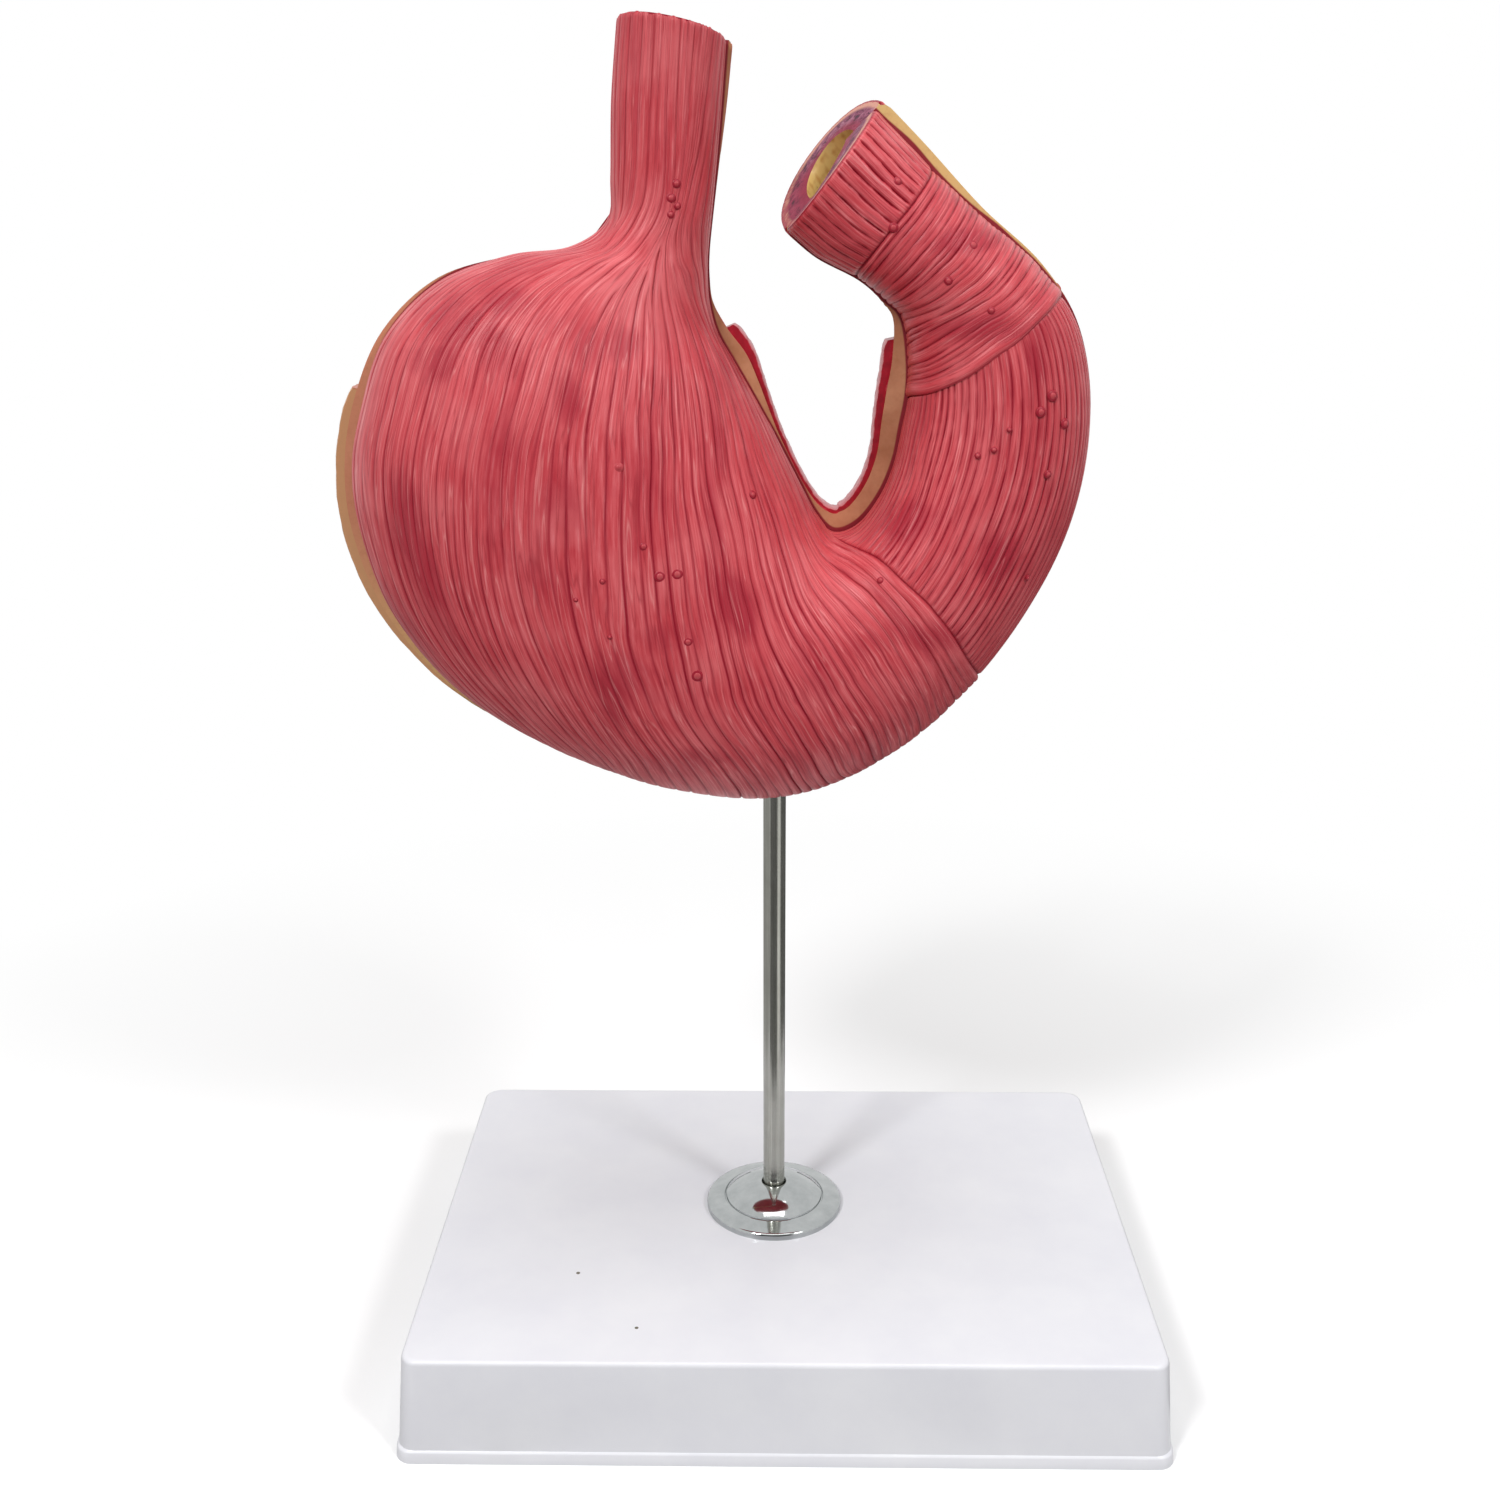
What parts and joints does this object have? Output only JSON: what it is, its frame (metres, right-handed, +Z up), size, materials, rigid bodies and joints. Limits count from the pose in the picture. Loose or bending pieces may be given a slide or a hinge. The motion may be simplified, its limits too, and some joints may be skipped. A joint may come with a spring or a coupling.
{
  "type": "stomach anatomy model",
  "caption": "Life-size teaching model of a stomach: a hollow casting in a front and a rear half, held by magnets, on a steel rod over a flat rectangular base.",
  "frame": {"origin": "centre of the base's underside", "axes": "+Z up along the rod; -Y towards the stomach's front half; +X to the right as seen from the front"},
  "size_m": [0.2091, 0.141, 0.3415],
  "materials": {
    "base_plastic": "semi-matt moulded white plastic",
    "zinc_steel": "bright zinc plate",
    "rod_steel": "drawn steel, lightly polished",
    "cover_chrome": "polished chrome plate",
    "sleeve_plastic": "plain moulded plastic",
    "rear_casting": "painted cast plastic, ochre rims and lining",
    "front_casting": "painted cast plastic with muscle fibres in relief",
    "magnet_nickel": "nickel plate"
  },
  "bodies": {
    "stand": {"base_shell": "base_plastic", "base_plate": "base_plastic", "base_screw_1": "zinc_steel", "base_screw_2": "zinc_steel", "base_screw_3": "zinc_steel", "base_screw_4": "zinc_steel", "rod": "rod_steel", "rod_upper_nut": "zinc_steel", "rod_washer": "zinc_steel", "rod_lower_nut": "zinc_steel", "rod_cover": "cover_chrome"},
    "socket": {"rod_socket": "sleeve_plastic"},
    "rear": {"rear_half": "rear_casting", "rear_magnet_1": "magnet_nickel", "rear_magnet_2": "magnet_nickel", "rear_magnet_3": "magnet_nickel", "rear_magnet_4": "magnet_nickel", "locating_pin_1": "zinc_steel", "locating_pin_2": "zinc_steel"},
    "front": {"front_half": "front_casting", "front_magnet_1": "magnet_nickel", "front_magnet_2": "magnet_nickel", "front_magnet_3": "magnet_nickel", "front_magnet_4": "magnet_nickel"}
  },
  "joints": [
    {"name": "stomach_lift", "type": "slide", "parent": "stand", "child": "socket", "axis": [0, 0, 1], "range_m": [0, 0.045]},
    {"name": "stomach_turn", "type": "hinge", "parent": "socket", "child": "rear", "pos_m": [-0.0026, 0.0034, 0.16], "axis": [0, 0, 1], "continuous": true},
    {"name": "front_half_pull", "type": "slide", "parent": "rear", "child": "front", "axis": [0, -1, 0], "range_m": [0, 0.085]}
  ]
}
